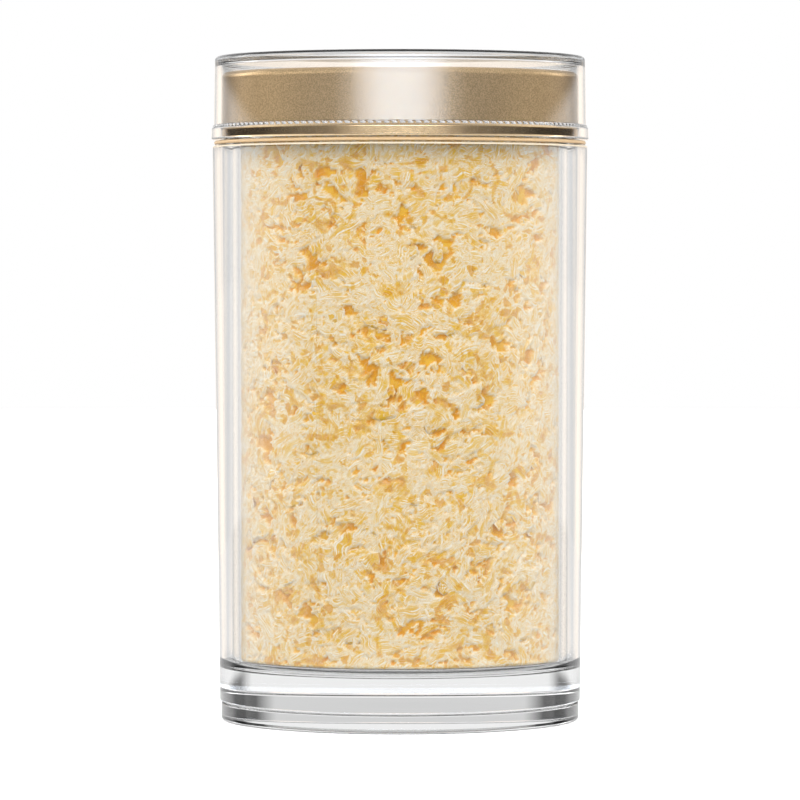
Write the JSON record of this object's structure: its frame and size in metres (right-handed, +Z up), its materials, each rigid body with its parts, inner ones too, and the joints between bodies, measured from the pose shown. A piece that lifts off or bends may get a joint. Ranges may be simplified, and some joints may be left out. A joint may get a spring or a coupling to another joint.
{
  "type": "jar of dried snow fungus",
  "caption": "Closed clear double-walled jar with a gold and clear screw lid, packed with crumbled dried snow fungus.",
  "frame": {"origin": "middle of the round footprint, on the surface that the jar stands on", "axes": "+Z up along the jar's axis, -Y towards the viewer of the picture, +X to the viewer's right"},
  "size_m": [0.1, 0.1, 0.1759],
  "materials": {
    "clear_acrylic": "clear polished acrylic, index of refraction 1.49",
    "dried_fungus": "dry frilly flakes, cream ridges and golden hollows",
    "white_foam": "matte white closed-cell foam",
    "satin_gold": "satin champagne-gold metal with a fine grain",
    "polished_gold": "polished warm gold metal"
  },
  "bodies": {
    "jar": {"base_foot": "clear_acrylic", "outer_jar": "clear_acrylic", "inner_tub": "clear_acrylic", "fungus_fill": "dried_fungus"},
    "liner": {"lid_liner": "white_foam"},
    "lid": {"gold_cap": "satin_gold", "trim_ring": "polished_gold", "lid_shell": "clear_acrylic"}
  },
  "joints": [
    {"name": "lid_rise", "type": "slide", "parent": "jar", "child": "liner", "axis": [0, 0, 1], "range_m": [0, 0.004]},
    {"name": "lid_turn", "type": "hinge", "parent": "liner", "child": "lid", "pos_m": [0, 0, 0.16], "axis": [0, 0, 1], "range_deg": [0, 360]}
  ],
  "couplings": [
    {"joint": "lid_rise", "follows": "lid_turn", "m_per_rad": 0.00063662}
  ]
}
